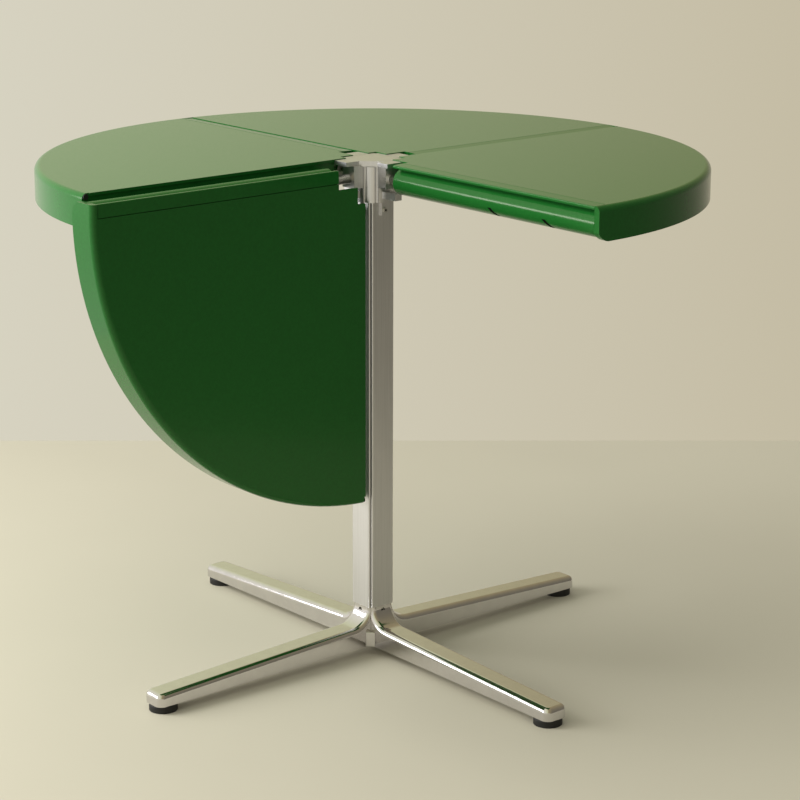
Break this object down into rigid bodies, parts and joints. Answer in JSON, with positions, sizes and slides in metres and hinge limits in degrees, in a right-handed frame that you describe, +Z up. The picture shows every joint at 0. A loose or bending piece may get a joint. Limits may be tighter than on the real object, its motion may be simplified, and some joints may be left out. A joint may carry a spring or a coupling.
{
  "type": "round folding table",
  "caption": "Round pedestal table whose quarter leaves drop about bars on a central hub, carried by a split square column on a cross base with rubber feet.",
  "frame": {"origin": "on the floor under the column's axis", "axes": "+Z up; the arms and legs lie along +X, -X, +Y and -Y; the leaf on the -X arm hangs and faces -Y"},
  "size_m": [0.955, 0.94, 0.73],
  "materials": {
    "green_plastic": "glossy moulded green",
    "polished_aluminium": "polished casting",
    "satin_aluminium": "satin",
    "steel": "plain bright",
    "natural_plastic": "low-friction bearing plastic",
    "black_rubber": "matt"
  },
  "bodies": {
    "base": {"hub_casting": "satin_aluminium", "hub_cap": "satin_aluminium", "bar_set_screws": "steel", "core_tube": "steel", "tie_rod": "steel", "tie_rod_nuts": "steel", "leg_screws": "steel", "post_screws": "steel", "foot_pads": "black_rubber", "foot_screws": "steel", "corner_wedges": "polished_aluminium", "arm_bar_back": "steel", "column_post_back": "satin_aluminium", "leg_back": "polished_aluminium", "arm_bar_left": "steel", "column_post_left": "satin_aluminium", "leg_left": "polished_aluminium", "arm_bar_front": "steel", "column_post_front": "satin_aluminium", "leg_front": "polished_aluminium", "arm_bar_right": "steel", "column_post_right": "satin_aluminium", "leg_right": "polished_aluminium"},
    "back_slider": {"slide_sleeve_back": "natural_plastic"},
    "back_leaf": {"leaf_top_back": "green_plastic", "under_panel_back": "green_plastic", "hinge_rail_back": "green_plastic", "leaf_screws_back": "steel", "rim_stop_back": "black_rubber"},
    "back_paddle": {"release_paddle_back": "green_plastic"},
    "left_slider": {"slide_sleeve_left": "natural_plastic"},
    "left_leaf": {"leaf_top_left": "green_plastic", "under_panel_left": "green_plastic", "hinge_rail_left": "green_plastic", "leaf_screws_left": "steel", "rim_stop_left": "black_rubber"},
    "left_paddle": {"release_paddle_left": "green_plastic"},
    "front_slider": {"slide_sleeve_front": "natural_plastic"},
    "front_leaf": {"leaf_top_front": "green_plastic", "under_panel_front": "green_plastic", "hinge_rail_front": "green_plastic", "leaf_screws_front": "steel", "rim_stop_front": "black_rubber"},
    "front_paddle": {"release_paddle_front": "green_plastic"},
    "right_slider": {"slide_sleeve_right": "natural_plastic"},
    "right_leaf": {"leaf_top_right": "green_plastic", "under_panel_right": "green_plastic", "hinge_rail_right": "green_plastic", "leaf_screws_right": "steel", "rim_stop_right": "black_rubber"},
    "right_paddle": {"release_paddle_right": "green_plastic"}
  },
  "joints": [
    {"name": "back_slide", "type": "slide", "parent": "base", "child": "back_slider", "axis": [1, 0, 0], "range_m": [0, 0.015]},
    {"name": "back_hinge", "type": "hinge", "parent": "back_slider", "child": "back_leaf", "pos_m": [0, 0, 0.7045], "axis": [-1, 0, 0], "range_deg": [0, 90]},
    {"name": "back_paddle_press", "type": "slide", "parent": "back_leaf", "child": "back_paddle", "axis": [0, 0, 1], "range_m": [0, 0.0015], "stiffness_N_per_m": 600},
    {"name": "left_slide", "type": "slide", "parent": "base", "child": "left_slider", "axis": [0, 1, 0], "range_m": [0, 0.015]},
    {"name": "left_hinge", "type": "hinge", "parent": "left_slider", "child": "left_leaf", "pos_m": [0, 0, 0.7045], "axis": [0, -1, 0], "range_deg": [0, 90]},
    {"name": "left_paddle_press", "type": "slide", "parent": "left_leaf", "child": "left_paddle", "axis": [0, 0, 1], "range_m": [0, 0.0015], "stiffness_N_per_m": 600},
    {"name": "front_slide", "type": "slide", "parent": "base", "child": "front_slider", "axis": [-1, 0, 0], "range_m": [-0.015, 0]},
    {"name": "front_hinge", "type": "hinge", "parent": "front_slider", "child": "front_leaf", "pos_m": [0, 0, 0.7045], "axis": [1, 0, 0], "range_deg": [-90, 0]},
    {"name": "front_paddle_press", "type": "slide", "parent": "front_leaf", "child": "front_paddle", "axis": [0, -1, 0], "range_m": [0, 0.0015], "stiffness_N_per_m": 600},
    {"name": "right_slide", "type": "slide", "parent": "base", "child": "right_slider", "axis": [0, -1, 0], "range_m": [0, 0.015]},
    {"name": "right_hinge", "type": "hinge", "parent": "right_slider", "child": "right_leaf", "pos_m": [0, 0, 0.7045], "axis": [0, 1, 0], "range_deg": [0, 90]},
    {"name": "right_paddle_press", "type": "slide", "parent": "right_leaf", "child": "right_paddle", "axis": [0, 0, 1], "range_m": [0, 0.0015], "stiffness_N_per_m": 600}
  ],
  "couplings": [
    {"joint": "back_slide", "follows": "back_hinge", "m_per_rad": 0.009549},
    {"joint": "left_slide", "follows": "left_hinge", "m_per_rad": 0.009549},
    {"joint": "front_slide", "follows": "front_hinge", "m_per_rad": 0.009549},
    {"joint": "right_slide", "follows": "right_hinge", "m_per_rad": 0.009549}
  ]
}
